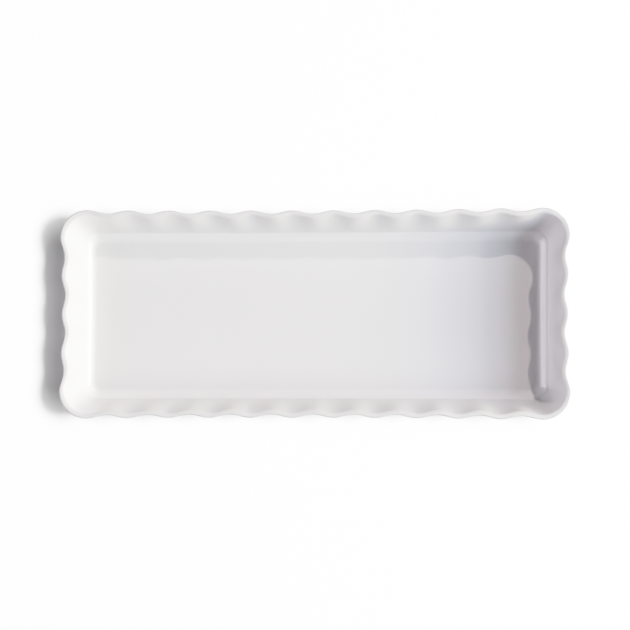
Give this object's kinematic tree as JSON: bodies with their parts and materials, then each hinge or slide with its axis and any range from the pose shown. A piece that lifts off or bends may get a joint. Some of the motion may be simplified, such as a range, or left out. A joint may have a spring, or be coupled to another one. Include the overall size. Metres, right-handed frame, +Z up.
{
  "type": "tart pan",
  "caption": "Slim rectangular tart pan of white glazed stoneware with a scalloped rim, fluted walls, a flat floor and a bare foot ring.",
  "frame": {"origin": "centre of the plane that the foot ring stands on", "axes": "+X along the length of the pan, +Y across its width, +Z up out of its mouth"},
  "size_m": [0.36, 0.148, 0.036],
  "materials": {
    "bare_stoneware": "matte",
    "white_glaze": "gloss",
    "white_base_glaze": "satin"
  },
  "bodies": {
    "root": {"stoneware_body": "bare_stoneware", "glaze_coat": "white_glaze", "base_glaze": "white_base_glaze"}
  },
  "joints": []
}
